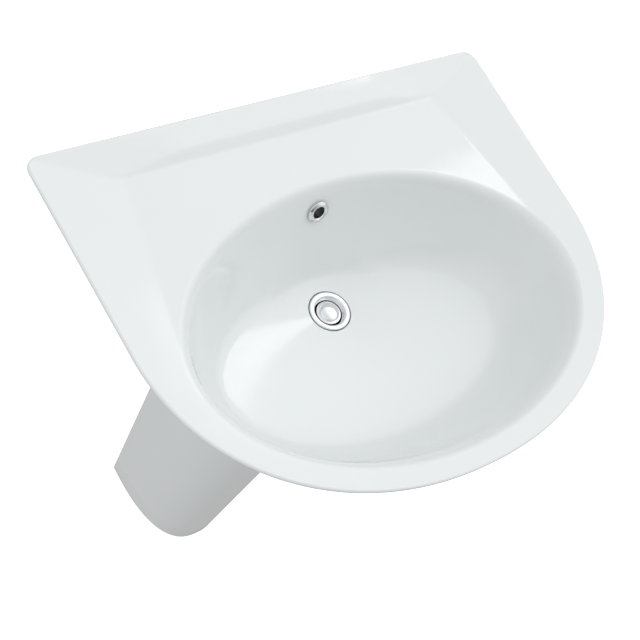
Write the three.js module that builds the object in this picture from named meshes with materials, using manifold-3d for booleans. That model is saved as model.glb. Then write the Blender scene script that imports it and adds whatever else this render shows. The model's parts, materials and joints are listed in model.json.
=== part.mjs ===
// A wall-and-pedestal washbasin: a D-shaped vitreous china basin on a full-height china pedestal,
// with its overflow ring, push-open waste, bottle trap, wall studs and floor screws.
//
// Millimetres, +Z up. The pieces are placed from the wall plane (y = 0, the room is at -Y), the
// basin's centre plane (x = 0) and, above the floor, from the top of the rim. The exported group
// then puts the origin on the floor, midway between the wall and the front of the rim.
import * as THREE from "three";
import { mergeVertices } from "three/addons/utils/BufferGeometryUtils.js";
import Module from "manifold-3d";

// ---------------------------------------------------------------- driving dimensions
const RIM_HEIGHT = 820;
const DEPTH = 476;
const HALF_WIDTH = 300;
const FRONT_HALF_WIDTH = 294; // where the straight sides end
const SIDE_LENGTH = 228;
const CORNER_RADIUS = 17;
const FRONT_POWER = 2.15; // exponent of the superellipse at the front
const RIM_THICKNESS = 14;
const EDGE_RADIUS = 2.5; // round the top of the rim's outer edge
const UNDERCUT = 8; // how far the edge slopes back below that
const CLEARANCE = 0.3; // between pieces that touch

// The top of the rim: side bands, rear ledge with its riser, and the deck behind the bowl.
const BAND_SLOPE = 0.11;
const LEDGE_SLOPE = 0.06; // at the wall
const LEDGE_ROLL = 0.06; // what the slope gains by the top of the riser
const LEDGE_END_SLOPE = 0.2; // where the ledge takes in the riser, at its two ends
const LEDGE_ENDS = [125, 205]; // across, where the slope starts and stops changing
const RISER_TOP = 34; // from the wall
const RISER_SLOPE = 0.58;
const DECK_REAR = 46;
const DECK_END = 250;
const DECK_DEPTH = 10;
const DECK_RISE = 0.021;

// The bowl, an ellipse in plan.
const BOWL = { y: -282.5, halfWidth: 244, halfDepth: 166.5 };
const WALL_SLOPE = Math.tan(THREE.MathUtils.degToRad(67));
const FLOOR_DEPTH = 123;
const FLOOR_SLOPE = 0.16;
const RISER_SOFTNESS = 1;
const BAND_SOFTNESS = 0.35;
const LIP_SOFTNESS = 18;
const BOWL_SOFTNESS = 60;
const SEAT_SOFTNESS = 12;
const SHELL_ON_FLAT = 13; // vertical thickness of the china
const SHELL_ON_WALL = 30;

// The waste and the overflow.
const DRAIN_Y = -220;
const SEAT_RADIUS = 26.4;
const SEAT_Z = -FLOOR_DEPTH - 4;
const WASTE_BORE = 22.5;
const FLANGE_RADIUS = 25.2;
const BOSS_RADIUS = 40;
const BOSS_BOTTOM = -172;
const OVERFLOW = { y: -134.5, z: -39, bore: 11, ring: 13.4, opening: 7.3 };
const COVER_FOOT = -112; // where the overflow passage leaves the rear wall for the boss

// The pedestal.
const PEDESTAL_BACK = -97;
const PEDESTAL_FOOT = { halfWidth: 75, depth: 157 };
const PEDESTAL_GROWTH = { halfWidth: 0.0227, depth: 0.058 }; // per millimetre of height
const PEDESTAL_WALL = 12;
const PEDESTAL_TOP = -121;
const PEDESTAL_GAP = 5; // below the basin's underside

// The wall and floor fixings.
const STUD_X = 140;
const STUD_Z = -78;
const STUD_HOLE = 7.2;
const FOOT_SCREW = { x: 47, y: -128, lug: 16, hole: 3.6 };

const SMOOTH = 28; // segments of a turned piece that shows
const PLAIN = 16; // segments of a hidden one

// ---------------------------------------------------------------- materials
const paint = (color, roughness, metalness) =>
  new THREE.MeshStandardMaterial({ color, roughness, metalness });
const CHINA = paint(0xeef1f2, 0.06, 0);
const CHROME = paint(0xd9dcde, 0.05, 1);
const BRASS = paint(0xc9a45c, 0.3, 1);
const STEEL = paint(0xb4b7ba, 0.35, 1);
const RUBBER = paint(0x26282a, 0.8, 0);
const PLASTIC = paint(0xe9e9e6, 0.4, 0);
const NYLON = paint(0xd8d6cf, 0.5, 0);

// ---------------------------------------------------------------- solids
const wasm = await Module();
wasm.setup();

function solid(geometry) {
  const bare = geometry.clone();
  for (const name of Object.keys(bare.attributes)) if (name !== "position") bare.deleteAttribute(name);
  const merged = mergeVertices(bare, 1e-3);
  const vertProperties = new Float32Array(merged.attributes.position.array);
  const triVerts = new Uint32Array(merged.index.array);
  return new wasm.Manifold(new wasm.Mesh({ numProp: 3, vertProperties, triVerts }));
}

function geometryOf(made) {
  const mesh = made.getMesh();
  const geometry = new THREE.BufferGeometry();
  geometry.setAttribute("position", new THREE.BufferAttribute(new Float32Array(mesh.vertProperties), 3));
  geometry.setIndex(new THREE.BufferAttribute(new Uint32Array(mesh.triVerts), 1));
  return geometry;
}

const join = (...geometries) => geometryOf(geometries.map(solid).reduce((a, b) => a.add(b)));
const cut = (geometry, ...tools) =>
  geometryOf(tools.map(solid).reduce((a, b) => a.subtract(b), solid(geometry)));

// A closed loop of rings, each the same number of [x, y, z] points.
function loftLoop(rings) {
  const count = rings[0].length;
  const index = [];
  rings.forEach((_, j) => {
    const next = (j + 1) % rings.length;
    for (let i = 0; i < count; i++) {
      const k = (i + 1) % count;
      const [a, b, c, d] = [j * count + i, j * count + k, next * count + k, next * count + i];
      index.push(a, b, c, a, c, d);
    }
  });
  return indexed(rings.flat(), index);
}

function indexed(points, index) {
  const geometry = new THREE.BufferGeometry();
  geometry.setAttribute("position", new THREE.Float32BufferAttribute(points.flat(), 3));
  geometry.setIndex(index);
  return geometry;
}

// Turned about Z. The profile is [radius, z] points, up the outside and down the inside.
function turned(profile, segments = PLAIN) {
  const closed = profile[0][0] === 0 ? profile : [...profile, profile[0]];
  const points = closed.map(([r, z]) => new THREE.Vector2(r, z));
  return new THREE.LatheGeometry(points, segments).rotateX(Math.PI / 2);
}

const ring = (inner, outer, bottom, top, segments = PLAIN) =>
  turned([[inner, bottom], [outer, bottom], [outer, top], [inner, top]], segments);

const rod = (radius, bottom, top, segments = PLAIN) =>
  turned([[0, bottom], [radius, bottom], [radius, top], [0, top]], segments);

const block = (x0, x1, y0, y1, z0, z1) =>
  new THREE.BoxGeometry(x1 - x0, y1 - y0, z1 - z0).translate((x0 + x1) / 2, (y0 + y1) / 2, (z0 + z1) / 2);

// A flat shape drawn in [y, z] and extruded across X, centred on x.
function slab(outline, x, width) {
  const shape = new THREE.Shape(outline.map(([y, z]) => new THREE.Vector2(y, z)));
  const made = new THREE.ExtrudeGeometry(shape, { depth: width, bevelEnabled: false });
  return made.rotateX(Math.PI / 2).rotateZ(Math.PI / 2).translate(x - width / 2, 0, 0);
}

// A plain hexagonal nut about Z.
const hexNut = (acrossFlats, bore, bottom, top) =>
  cut(rod(acrossFlats / Math.sqrt(3), bottom, top, 6), rod(bore, bottom - 1, top + 1));

// ---------------------------------------------------------------- the basin's surfaces
function smoothMin(a, b, softness) {
  const near = Math.max(softness - Math.abs(a - b), 0) / softness;
  return Math.min(a, b) - (near * near * softness) / 4;
}
const smoothMax = (a, b, softness) => -smoothMin(-a, -b, softness);

// How far a point in plan is inside the straight sides or the rounded front.
function sideDistance(x, y) {
  if (y > -SIDE_LENGTH) {
    const along = (-y - CORNER_RADIUS) / (SIDE_LENGTH - CORNER_RADIUS);
    return HALF_WIDTH + (FRONT_HALF_WIDTH - HALF_WIDTH) * Math.max(along, 0) - Math.abs(x);
  }
  const u = Math.abs(x) / FRONT_HALF_WIDTH;
  const v = (-y - SIDE_LENGTH) / (DEPTH - SIDE_LENGTH);
  const r = Math.max((u ** FRONT_POWER + v ** FRONT_POWER) ** (1 / FRONT_POWER), 1e-6);
  const gradient = Math.hypot(
    (u / r) ** (FRONT_POWER - 1) / FRONT_HALF_WIDTH,
    (v / r) ** (FRONT_POWER - 1) / (DEPTH - SIDE_LENGTH),
  );
  return (1 - r) / gradient;
}

// How far a point in plan is inside the whole outline, with its round rear corners.
function inside(x, y) {
  const dx = Math.abs(x) - (HALF_WIDTH - CORNER_RADIUS);
  const dy = y + CORNER_RADIUS;
  if (dx > 0 && dy > 0) return CORNER_RADIUS - Math.hypot(dx, dy);
  return Math.min(sideDistance(x, y), -y);
}

const deckHeight = (y) => -DECK_DEPTH + DECK_RISE * (Math.min(-y, DECK_END) - DECK_REAR);

function ledgeHeight(x, y) {
  const turn = THREE.MathUtils.smoothstep(Math.abs(x), ...LEDGE_ENDS);
  const rolled = (depth) => -depth * (LEDGE_SLOPE + (LEDGE_ROLL * depth) / (2 * RISER_TOP));
  const ledge = THREE.MathUtils.lerp(rolled(-y), LEDGE_END_SLOPE * y, turn);
  const riser = rolled(RISER_TOP) - RISER_SLOPE * (-y - RISER_TOP);
  return smoothMin(ledge, riser, RISER_SOFTNESS);
}

function rimHeight(x, y) {
  const rear = smoothMax(ledgeHeight(x, y), deckHeight(y), RISER_SOFTNESS);
  return smoothMax(-BAND_SLOPE * sideDistance(x, y), rear, BAND_SOFTNESS);
}

// Distance outside the bowl's ellipse, negative inside it.
function outsideBowl(x, y) {
  const u = x / BOWL.halfWidth;
  const v = (y - BOWL.y) / BOWL.halfDepth;
  const r = Math.max(Math.hypot(u, v), 1e-6);
  return ((r - 1) * r) / Math.hypot(u / BOWL.halfWidth, v / BOWL.halfDepth);
}

// The bowl's surface, some way below the glaze on its walls and on its floor. The two blend with a
// radius that shrinks towards the drain, so that the waste's flange lies flat.
function bowlHeight(x, y, belowWall, belowFloor) {
  const fromSeat = Math.max(Math.hypot(x, y - DRAIN_Y) - SEAT_RADIUS, 0);
  const wall = WALL_SLOPE * outsideBowl(x, y) - belowWall;
  const floor = FLOOR_SLOPE * fromSeat - FLOOR_DEPTH - belowFloor;
  return smoothMax(wall, floor, Math.min(SEAT_SOFTNESS + fromSeat, BOWL_SOFTNESS));
}

const topHeight = (x, y) => smoothMin(rimHeight(x, y), bowlHeight(x, y, 0, 0), LIP_SOFTNESS);

function undersideHeight(x, y) {
  const bowl = bowlHeight(x, y, SHELL_ON_WALL, SHELL_ON_FLAT);
  return smoothMin(rimHeight(x, y) - SHELL_ON_FLAT, bowl, LIP_SOFTNESS);
}

// ---------------------------------------------------------------- the basin
// Where the ray from the bowl's centre at an angle reaches a depth inside the outline.
function rimPoint(angle, depth) {
  let [near, far] = [0, 2 * HALF_WIDTH];
  for (let i = 0; i < 40; i++) {
    const middle = (near + far) / 2;
    const [x, y] = [middle * Math.cos(angle), BOWL.y + middle * Math.sin(angle)];
    if (inside(x, y) > depth) near = middle;
    else far = middle;
  }
  return [near * Math.cos(angle), BOWL.y + near * Math.sin(angle)];
}

function bowlPoint(angle) {
  const r = 1 / Math.hypot(Math.cos(angle) / BOWL.halfWidth, Math.sin(angle) / BOWL.halfDepth);
  return [r * Math.cos(angle), BOWL.y + r * Math.sin(angle)];
}

const between = ([ax, ay], [bx, by], share) => [ax + (bx - ax) * share, ay + (by - ay) * share];

// The rays' angles: even round the bowl, with more at the two rear corners.
function rayAngles() {
  const even = Array.from({ length: 64 }, (_, i) => (i * Math.PI) / 32);
  const corner = Math.atan2(-BOWL.y, HALF_WIDTH);
  const extra = [-0.05, -0.0311, 0, 0.022].flatMap((d) => [corner + d, Math.PI - corner - d]);
  return [...even, ...extra].sort((a, b) => a - b);
}

function basinShell() {
  const angles = rayAngles();
  const onTop = ([x, y]) => [x, y, topHeight(x, y)];
  const below = ([x, y]) => [x, y, undersideHeight(x, y)];
  const edge = (depth, z) => angles.map((a) => [...rimPoint(a, depth), z]);
  const inner = (share) => angles.map((a) => between(rimPoint(a, EDGE_RADIUS), bowlPoint(a), share));
  const bowl = (share) =>
    angles.map((a) => {
      const seat = [SEAT_RADIUS * Math.cos(a), DRAIN_Y + SEAT_RADIUS * Math.sin(a)];
      return between(bowlPoint(a), seat, share);
    });
  const drain = (radius, z) => angles.map((a) => [radius * Math.cos(a), DRAIN_Y + radius * Math.sin(a), z]);
  // The rear ledge and riser need a ring on each of their edges.
  const ledge = (depth) =>
    angles.map((a) => {
      const wanted = rimPoint(a, depth);
      const limit = between(rimPoint(a, EDGE_RADIUS), bowlPoint(a), depth / 70);
      const reach = ([x, y]) => Math.hypot(x, y - BOWL.y);
      return reach(limit) > reach(wanted) ? limit : wanted;
    });
  const seatBottom = -FLOOR_DEPTH - SHELL_ON_FLAT;
  return loftLoop([
    edge(UNDERCUT + 3, -RIM_THICKNESS),
    edge(UNDERCUT, -RIM_THICKNESS + 1),
    edge(0, -EDGE_RADIUS - 0.4),
    edge(EDGE_RADIUS * 0.3, -EDGE_RADIUS * 0.3 - 0.4),
    edge(EDGE_RADIUS, -0.4),
    ledge(RISER_TOP - 2).map(onTop),
    ledge(DECK_REAR).map(onTop),
    inner(0.78).map(onTop),
    inner(0.93).map(onTop),
    ...[0, 0.06, 0.14, 0.24, 0.37, 0.52, 0.72, 1].map((share) => bowl(share).map(onTop)),
    drain(SEAT_RADIUS, SEAT_Z),
    drain(WASTE_BORE, SEAT_Z),
    drain(WASTE_BORE, seatBottom),
    ...[1, 0.68, 0.4, 0.2, 0].map((share) => bowl(share).map(below)),
    inner(0.85).map(below),
    inner(0.5).map(below),
  ]);
}

// A point on the outside of the bowl's rear wall: how deep, and how far out from the glaze.
function behindBowl(z, offset) {
  const y = OVERFLOW.y + (z - OVERFLOW.z) / WALL_SLOPE;
  const tilt = Math.atan(WALL_SLOPE);
  return [y + offset * Math.sin(tilt), z - offset * Math.cos(tilt)];
}

// Stands a piece that was made about Z on the overflow's axis, facing out of the rear wall.
const onOverflow = (geometry) =>
  geometry.rotateX(Math.PI / 2 - Math.atan(1 / WALL_SLOPE)).translate(0, OVERFLOW.y, OVERFLOW.z);

// A box section that runs down the rear wall's outside and forwards to the boss.
const coverOutline = [
  behindBowl(-22, 6),
  behindBowl(COVER_FOOT, 6),
  [-190, -131],
  [-190, -168],
  [-150, -166],
  behindBowl(COVER_FOOT, 30),
  behindBowl(-22, 30),
];
const passageOutline = [
  behindBowl(-28, 12),
  behindBowl(COVER_FOOT, 12),
  [-190, -142],
  [-190, -157],
  [-161, -157],
  behindBowl(COVER_FOOT, 21),
  behindBowl(-28, 21),
];
const sideRib = [[-1, -10], [-1, -150], [-34, -150], [-130, -96], [-178, -60], [-178, -14]];

function basin() {
  const atDrain = (geometry) => geometry.translate(0, DRAIN_Y, 0);
  const china = join(
    basinShell(),
    slab(coverOutline, 0, 56),
    atDrain(ring(WASTE_BORE, BOSS_RADIUS, BOSS_BOTTOM, SEAT_Z - 1, SMOOTH)),
    block(-216, 216, -14, 0, -150, -8),
    ...[-210, 210].map((x) => slab(sideRib, x, 12)),
  );
  return cut(
    china,
    slab(passageOutline, 0, 36),
    atDrain(rod(31, -158, -141, SMOOTH)),
    atDrain(rod(WASTE_BORE, -180, -SEAT_RADIUS, SMOOTH)),
    onOverflow(rod(OVERFLOW.bore, -15, 6, SMOOTH)),
    onOverflow(rod(OVERFLOW.ring + CLEARANCE, 0, 6, SMOOTH)),
    ...[-STUD_X, STUD_X].map((x) => rod(STUD_HOLE, -5, 25).rotateX(Math.PI / 2).translate(x, 0, STUD_Z)),
  );
}

// ---------------------------------------------------------------- the pedestal
// Half of the pedestal's outside in plan, from the rear corner forwards: nearly straight sides
// that close into a round front. Angle 0 is the side, 90 degrees the front.
function pedestalOutside(height) {
  const halfWidth = PEDESTAL_FOOT.halfWidth + PEDESTAL_GROWTH.halfWidth * height;
  const depth = PEDESTAL_FOOT.depth + PEDESTAL_GROWTH.depth * height;
  const steps = 13;
  const half = Array.from({ length: steps }, (_, i) => {
    const angle = (i / (steps - 1)) * (Math.PI / 2);
    const [c, s] = [Math.cos(angle), Math.sin(angle)];
    return [halfWidth * c ** 0.8, PEDESTAL_BACK - depth * s ** 0.8];
  });
  half[steps - 1][0] = 0;
  return half;
}

// The inside, one wall thickness in from the outside.
function inset(path, distance) {
  return path.map(([x, y], i) => {
    const [x0, y0] = path[Math.max(i - 1, 0)];
    const [x1, y1] = path[Math.min(i + 1, path.length - 1)];
    const length = Math.hypot(x1 - x0, y1 - y0);
    return [x - ((y0 - y1) / length) * distance, y + ((x0 - x1) / length) * distance];
  });
}

function pedestalPaths(height) {
  const half = pedestalOutside(height);
  const full = [...half, ...half.slice(0, -1).reverse().map(([x, y]) => [-x, y])];
  const within = inset(full, PEDESTAL_WALL);
  // The rear edges turn in towards each other as stiffening returns.
  const back = PEDESTAL_BACK;
  const width = half[0][0];
  const returns = (side) => [
    [side * (width - 26), back],
    [side * (width - 26), back - PEDESTAL_WALL],
  ];
  within[0] = [width - PEDESTAL_WALL, back - PEDESTAL_WALL];
  within[within.length - 1] = [-(width - PEDESTAL_WALL), back - PEDESTAL_WALL];
  const [right, left] = [returns(1), returns(-1)];
  return [
    [right[0], ...full, left[0]],
    [right[1], ...within, left[1]],
  ];
}

function pedestal() {
  const floor = -RIM_HEIGHT;
  const heights = [0, 230, 460, 600, RIM_HEIGHT + PEDESTAL_TOP];
  const paths = heights.map(pedestalPaths);
  const top = heights.length - 1;
  // A station is one upright slice of the wall: up the outside and down the inside.
  const station = (i) => {
    const point = (k, side) => {
      const [x, y] = paths[k][side][i];
      const z = k < top ? floor + heights[k] : Math.min(PEDESTAL_TOP, undersideHeight(x, y) - PEDESTAL_GAP);
      return [x, y, z];
    };
    const levels = heights.map((_, k) => k);
    return [...levels.map((k) => point(k, 0)), ...levels.reverse().map((k) => point(k, 1))];
  };
  const stations = paths[0][0].map((_, i) => station(i));
  const { y, lug, hole } = FOOT_SCREW;
  const lugs = [-1, 1].map((side) => {
    const x = side * (FOOT_SCREW.x + 10);
    return block(x - 13, x + 13, y - 16, y + 20, floor, floor + lug);
  });
  const holes = [-1, 1].map((side) =>
    rod(hole, floor - 1, floor + 30).translate(side * FOOT_SCREW.x, y, 0),
  );
  return cut(join(loftStrip(stations), ...lugs), ...holes);
}

// Slices of equal point count, joined in a row and closed at both ends. A slice's points go up one
// side and down the other, so its end is filled across from one side to the other.
function loftStrip(slices) {
  const count = slices[0].length;
  const index = [];
  for (let j = 0; j < slices.length - 1; j++)
    for (let i = 0; i < count; i++) {
      const k = (i + 1) % count;
      const [a, b, c, d] = [j * count + i, j * count + k, (j + 1) * count + k, (j + 1) * count + i];
      index.push(a, b, c, a, c, d);
    }
  const close = (first, flip) => {
    for (let i = 0; i < count / 2 - 1; i++) {
      const [a, b, c, d] = [i, i + 1, count - 2 - i, count - 1 - i].map((p) => first + p);
      index.push(...(flip ? [a, b, c, a, c, d] : [a, c, b, a, d, c]));
    }
  };
  close(0, false);
  close((slices.length - 1) * count, true);
  return indexed(slices.flat(), index);
}

// ---------------------------------------------------------------- the waste and its plug
// These pieces are turned about the drain's axis.
function wasteBody() {
  const [top, tail] = [-FLOOR_DEPTH + 1, -205];
  const under = SEAT_Z + 1.8;
  const edge = FLANGE_RADIUS;
  const outside = [[18, tail], [20.9, tail], [20.9, under], [edge - 0.7, under], [edge, under + 0.7]];
  const rim = [[edge, top - 1.6], [edge - 0.9, top - 0.5], [22.6, top], [20.8, top - 0.3], [19, top - 1.6]];
  const bore = [[16.8, top - 4.2], [16.2, top - 6], [16.2, top - 9], [18, top - 12]];
  const shell = turned([...outside, ...rim, ...bore], SMOOTH);
  const windows = [0, Math.PI / 2].map((turn) => block(-8, 8, -24, 24, -156, -143).rotateZ(turn));
  const hub = ring(7.3, 9.6, -172, -158);
  const arms = [30, 150, 270].map((degrees) =>
    block(8.6, 19, -1.6, 1.6, -170, -162).rotateZ(THREE.MathUtils.degToRad(degrees)),
  );
  return join(cut(shell, ...windows), hub, ...arms);
}

// The plug at rest is closed: its dome shows inside the flange, and its skirt covers the bore.
function plugCap() {
  const top = -FLOOR_DEPTH + 0.6;
  const dome = [0.2, 0.45, 0.7, 0.9].map((share) => {
    const angle = (share * Math.PI) / 2;
    return [11.8 * Math.cos(angle), top - 3.6 + 3.6 * Math.sin(angle)];
  });
  const skirt = [[0, top - 8.5], [12, top - 8.5], [12, top - 6.2], [14.4, top - 5.4], [15.1, top - 4.6]];
  const shoulder = [[14.4, top - 4], [12.4, top - 3.9], [11.8, top - 3.6]];
  return turned([...skirt, ...shoulder, ...dome, [0, top]], SMOOTH);
}

function plugSeal() {
  const z = -FLOOR_DEPTH;
  return turned([[12.3, z - 7.8], [14.7, z - 7.8], [14.2, z - 5.9], [12.3, z - 6.3]]);
}

function plugStem() {
  const top = -FLOOR_DEPTH - 8.2;
  return turned([[0, -169], [2.6, -169], [2.6, -145], [4, -145], [4, top], [0, top]]);
}

// The cartridge holds the spring and the latch, and screws onto the hub in the waste.
function cartridge() {
  const outside = [[3, -184], [6.9, -184], [6.9, -157.7], [9.4, -157.7], [9.4, -155.5]];
  const inside = [[3, -155.5], [3, -157.5], [5.6, -157.5], [5.6, -182], [3, -182]];
  return turned([...outside, ...inside]);
}

// The spring stands inside the cartridge, below the stem.
function plugSpring() {
  const [radius, bottom, length, turns, steps] = [3.9, -181, 10.6, 3, 24];
  const path = new THREE.CatmullRomCurve3(
    Array.from({ length: steps + 1 }, (_, i) => {
      const angle = (i / steps) * turns * 2 * Math.PI;
      const [x, y] = [radius * Math.cos(angle), radius * Math.sin(angle)];
      return new THREE.Vector3(x, y, bottom + (i / steps) * length);
    }),
  );
  const wire = new THREE.Shape().absarc(0, 0, 0.45, 0, 2 * Math.PI);
  const settings = { steps: 30, curveSegments: 2, extrudePath: path, bevelEnabled: false };
  return new THREE.ExtrudeGeometry(wire, settings);
}

const wasteTopSeal = () => ring(22.6, 24.8, SEAT_Z + CLEARANCE, SEAT_Z + 1.5, SMOOTH);
function wasteLowerSeal() {
  const top = BOSS_BOTTOM - CLEARANCE;
  return turned([[21.3, -181], [34, -181], [34, -177], [27, top], [21.3, top]]);
}
const wasteWasher = () => ring(21.3, 33, -183.3, -181.3);
const wasteBacknut = () => hexNut(54, 21.3, -194, -183.6);

// ---------------------------------------------------------------- the trap
const TUBE = { outer: 16, inner: 14.6 };
const OUTLET_Z = -285;
const TRAP = { radius: 30, wall: 3, shoulder: -262, neckTop: -246, bottom: -345 };

// Turns a piece onto the outlet's axis, which runs from the trap to the wall.
const onOutlet = (geometry) => geometry.rotateX(-Math.PI / 2).translate(0, 0, OUTLET_Z);

const inletSeal = () => ring(TUBE.outer, 20.6, -206.6, -205.3);

function inletTube() {
  const { inner, outer } = TUBE;
  const collar = [[20.4, -209.4], [20.4, -206.9]];
  return turned([[inner, -332], [outer, -332], [outer, -209.4], ...collar, [inner, -206.9]]);
}

// A nut's outside, cut by the tube's bore and by the wider bore for the thread.
function unionNut(outside, [tubeFrom, tubeTo], [threadFrom, threadTo], thread) {
  return cut(turned(outside, 12), rod(16.4, tubeFrom, tubeTo), rod(thread, threadFrom, threadTo));
}

function inletNut() {
  const outside = [[0, -214], [23.6, -214], [25.4, -212.5], [25.4, -198], [0, -198]];
  return unionNut(outside, [-220, -190], [-209.7, -190], 21.3);
}

function neckNut() {
  const outside = [[0, -257], [24.6, -257], [24.6, -241], [23, -239.6], [0, -239.6]];
  return unionNut(outside, [-260, -230], [-260, -242.6], 20.4);
}

const neckSeal = () =>
  turned([[16.3, TRAP.neckTop + CLEARANCE], [20, TRAP.neckTop + CLEARANCE], [17.6, -242.9], [16.3, -242.9]]);

// The bottle: a neck for the inlet tube, a body open at the bottom, and a side outlet to the wall.
function trapBody() {
  const { radius, wall, shoulder, neckTop, bottom } = TRAP;
  const inner = radius - wall;
  const body = [[0, bottom], [radius, bottom], [radius, shoulder - 6], [radius - 7, shoulder]];
  const neck = [[20, shoulder + 0.5], [20, neckTop], [0, neckTop]];
  const room = [[0, bottom - 1], [inner, bottom - 1], [inner, shoulder - 7], [16.6, shoulder - 4]];
  const mouth = [[16.6, neckTop + 1], [0, neckTop + 1]];
  const bottle = join(turned([...body, ...neck], SMOOTH), onOutlet(rod(20, 20, 52)));
  return cut(bottle, turned([...room, ...mouth], SMOOTH), onOutlet(rod(16.6, 19, 53)));
}

function trapCup() {
  const grip = [[0, -392], [27, -392], [33.5, -388], [36.4, -366], [36.4, -326], [0, -326]];
  const floor = [[0, -388.5], [26, -388.5], [29.5, -385], [29.5, -350]];
  const hollow = [...floor, [30.6, -350], [30.6, -325], [0, -325]];
  const ribs = Array.from({ length: 8 }, (_, i) =>
    block(35, 38.2, -1.8, 1.8, -380, -330).rotateZ((i * Math.PI) / 4),
  );
  return cut(join(turned(grip, SMOOTH), ...ribs), turned(hollow, SMOOTH));
}

const trapCupSeal = () => ring(26, 30.2, -349.4, TRAP.bottom - CLEARANCE);

const outletPipe = () => onOutlet(ring(TUBE.inner, TUBE.outer, 30, -DRAIN_Y - CLEARANCE));
const outletSeal = () => onOutlet(turned([[16.3, 52.3], [20, 52.3], [17.6, 55.6], [16.3, 55.6]]));

function outletNut() {
  const outside = [[0, 41], [24.6, 41], [24.6, 57.5], [23, 59], [0, 59]];
  return onOutlet(unionNut(outside, [30, 70], [30, 56], 20.4));
}

function wallRosette() {
  const wall = -DRAIN_Y - CLEARANCE;
  const flare = [[16.4, wall - 15], [18.2, wall - 15], [20.5, wall - 10.5], [33, wall - 4]];
  return onOutlet(turned([...flare, [35, wall], [16.4, wall]], SMOOTH));
}

function overflowRing() {
  const { opening, ring: brim } = OVERFLOW;
  const sleeve = [[opening, -9], [10.6, -9], [10.6, CLEARANCE], [brim, CLEARANCE]];
  const face = [[brim, 1], [brim - 0.6, 1.8], [10.8, 2.8], [9.4, 3.2], [8, 2.8], [opening, 1.6]];
  return onOverflow(turned([...sleeve, ...face], SMOOTH));
}

// ---------------------------------------------------------------- the fixings
// A wall stud stands on the wall plane; the length inside the wall isn't part of the basin.
const onStud = (geometry) => geometry.rotateX(Math.PI / 2);
const wallStud = () => onStud(rod(4.9, CLEARANCE, 52, 16));
const wallSleeve = () => onStud(turned([[5.2, 2], [6.9, 2], [6.9, 14.3], [14, 14.3], [14, 17], [5.2, 17]]));
const wallWasher = () => onStud(ring(5.3, 12.5, 17.3, 19.3));
const wallNut = () => onStud(hexNut(17, 5.2, 19.6, 27.6));

// A floor screw stops at the floor plane for the same reason.
function floorScrew() {
  const top = -RIM_HEIGHT + FOOT_SCREW.lug;
  const shank = [[0, -RIM_HEIGHT + CLEARANCE], [3, -RIM_HEIGHT + CLEARANCE], [3, top + 2.2]];
  const head = [[6.4, top + 2.2], [6.4, top + 4.6], [4.2, top + 6.4], [0, top + 6.8]];
  return turned([...shank, ...head]);
}

function floorWasher() {
  const lugTop = -RIM_HEIGHT + FOOT_SCREW.lug;
  return ring(3.4, 8, lugTop + CLEARANCE, lugTop + 1.9);
}

// Rubber pads between the pedestal's top edge and the basin.
const PAD_PLACES = { front: [0, -286], left: [-86, -180], right: [86, -180] };
const bearingPad = () => rod(3.6, 1, 4, 12);
const bearingHeight = (x, y) => Math.min(PEDESTAL_TOP, undersideHeight(x, y) - PEDESTAL_GAP);

// ---------------------------------------------------------------- the assembly
const piece = (name, geometry, material) => {
  const mesh = new THREE.Mesh(geometry, material);
  mesh.name = name;
  return mesh;
};

const sink = new THREE.Group();
sink.position.set(0, DEPTH / 2, RIM_HEIGHT);

sink.add(
  piece("basin", basin(), CHINA),
  piece("pedestal", pedestal(), CHINA),
  piece("overflow_ring", overflowRing(), CHROME),
);

const drainLine = new THREE.Group();
drainLine.position.y = DRAIN_Y;
drainLine.add(
  piece("waste_body", wasteBody(), CHROME),
  piece("waste_top_seal", wasteTopSeal(), RUBBER),
  piece("waste_lower_seal", wasteLowerSeal(), RUBBER),
  piece("waste_washer", wasteWasher(), NYLON),
  piece("waste_backnut", wasteBacknut(), BRASS),
  piece("plug_cap", plugCap(), CHROME),
  piece("plug_seal", plugSeal(), RUBBER),
  piece("plug_stem", plugStem(), BRASS),
  piece("plug_spring", plugSpring(), STEEL),
  piece("click_cartridge", cartridge(), NYLON),
  piece("inlet_seal", inletSeal(), RUBBER),
  piece("inlet_tube", inletTube(), PLASTIC),
  piece("inlet_nut", inletNut(), PLASTIC),
  piece("neck_nut", neckNut(), PLASTIC),
  piece("neck_seal", neckSeal(), RUBBER),
  piece("trap_body", trapBody(), PLASTIC),
  piece("trap_cup", trapCup(), PLASTIC),
  piece("trap_cup_seal", trapCupSeal(), RUBBER),
  piece("outlet_pipe", outletPipe(), PLASTIC),
  piece("outlet_seal", outletSeal(), RUBBER),
  piece("outlet_nut", outletNut(), PLASTIC),
  piece("wall_rosette", wallRosette(), CHROME),
);
sink.add(drainLine);

for (const [side, x] of [["left", -STUD_X], ["right", STUD_X]]) {
  const stud = new THREE.Group();
  stud.position.set(x, 0, STUD_Z);
  stud.add(
    piece(`wall_stud_${side}`, wallStud(), STEEL),
    piece(`wall_sleeve_${side}`, wallSleeve(), NYLON),
    piece(`wall_washer_${side}`, wallWasher(), STEEL),
    piece(`wall_nut_${side}`, wallNut(), STEEL),
  );
  sink.add(stud);
}

for (const [side, x] of [["left", -FOOT_SCREW.x], ["right", FOOT_SCREW.x]]) {
  const screw = new THREE.Group();
  screw.position.set(x, FOOT_SCREW.y, 0);
  screw.add(
    piece(`floor_screw_${side}`, floorScrew(), STEEL),
    piece(`floor_washer_${side}`, floorWasher(), NYLON),
  );
  sink.add(screw);
}

for (const [side, [x, y]] of Object.entries(PAD_PLACES)) {
  const pad = piece(`bearing_pad_${side}`, bearingPad(), RUBBER);
  pad.position.set(x, y, bearingHeight(x, y));
  sink.add(pad);
}

const object = new THREE.Group();
object.add(sink);

export default object;
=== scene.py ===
"""A white china washbasin on its pedestal, with its waste, trap and fixings, in a plain white studio."""

import json
from math import atan, cos, pi, radians, sin, sqrt, tan

import bmesh
import bpy
import numpy as np
from mathutils import Matrix, Vector


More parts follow.
